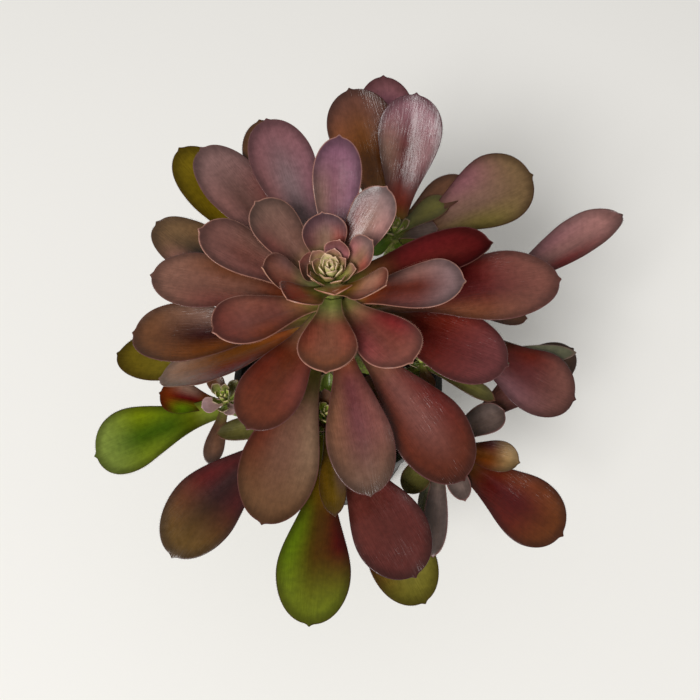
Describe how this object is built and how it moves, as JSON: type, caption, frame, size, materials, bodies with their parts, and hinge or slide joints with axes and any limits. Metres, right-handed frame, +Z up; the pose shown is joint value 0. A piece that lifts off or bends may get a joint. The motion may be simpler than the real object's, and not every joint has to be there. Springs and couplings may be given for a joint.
{
  "type": "potted aeonium",
  "caption": "Branched succulent with a raised rosette of dark spoon-shaped leaves, standing in a round black nursery pot of peat.",
  "frame": {"origin": "centre of the pot's flat underside, on the surface it stands on", "axes": "+Z up along the pot's axis; the plant is turned so that its front, with the longest hanging leaves, faces -Y; +X to the right"},
  "size_m": [0.3241, 0.3421, 0.2954],
  "materials": {
    "pot": "black moulded polypropylene, satin",
    "potting_mix": "moist dark peat with perlite grains, matte",
    "stem": "young green-brown succulent stem with leaf scars, satin",
    "heart": "tight yellow-green young leaves with pink margins, satin",
    "leaf": "dark purple-brown succulent leaf, olive to green where shaded, satin wax sheen"
  },
  "bodies": {
    "root": {"nursery_pot": "pot", "potting_mix": "potting_mix", "stem": "stem", "heart_main": "heart", "heart_back": "heart", "heart_left": "heart", "heart_front": "heart", "heart_right": "heart", "heart_low": "heart", "heart_far": "heart", "leaf_01": "leaf", "leaf_02": "leaf", "leaf_03": "leaf", "leaf_04": "leaf", "leaf_05": "leaf", "leaf_06": "leaf", "leaf_07": "leaf", "leaf_08": "leaf", "leaf_09": "leaf", "leaf_10": "leaf", "leaf_11": "leaf", "leaf_12": "leaf", "leaf_13": "leaf", "leaf_14": "leaf", "leaf_15": "leaf", "leaf_16": "leaf", "leaf_17": "leaf", "leaf_18": "leaf", "leaf_19": "leaf", "leaf_20": "leaf", "leaf_21": "leaf", "leaf_22": "leaf", "leaf_23": "leaf", "leaf_24": "leaf", "leaf_25": "leaf", "leaf_26": "leaf", "leaf_27": "leaf", "leaf_28": "leaf", "leaf_29": "leaf", "leaf_30": "leaf", "leaf_31": "leaf", "leaf_32": "leaf", "leaf_33": "leaf", "back_leaf_1": "leaf", "back_leaf_2": "leaf", "back_leaf_3": "leaf", "back_leaf_4": "leaf", "left_leaf_1": "leaf", "left_leaf_2": "leaf", "front_leaf_1": "leaf", "front_leaf_2": "leaf", "front_leaf_3": "leaf", "front_leaf_4": "leaf", "front_leaf_5": "leaf", "low_leaf_1": "leaf", "low_leaf_2": "leaf", "low_leaf_3": "leaf", "far_leaf_1": "leaf", "far_leaf_2": "leaf"}
  },
  "joints": []
}
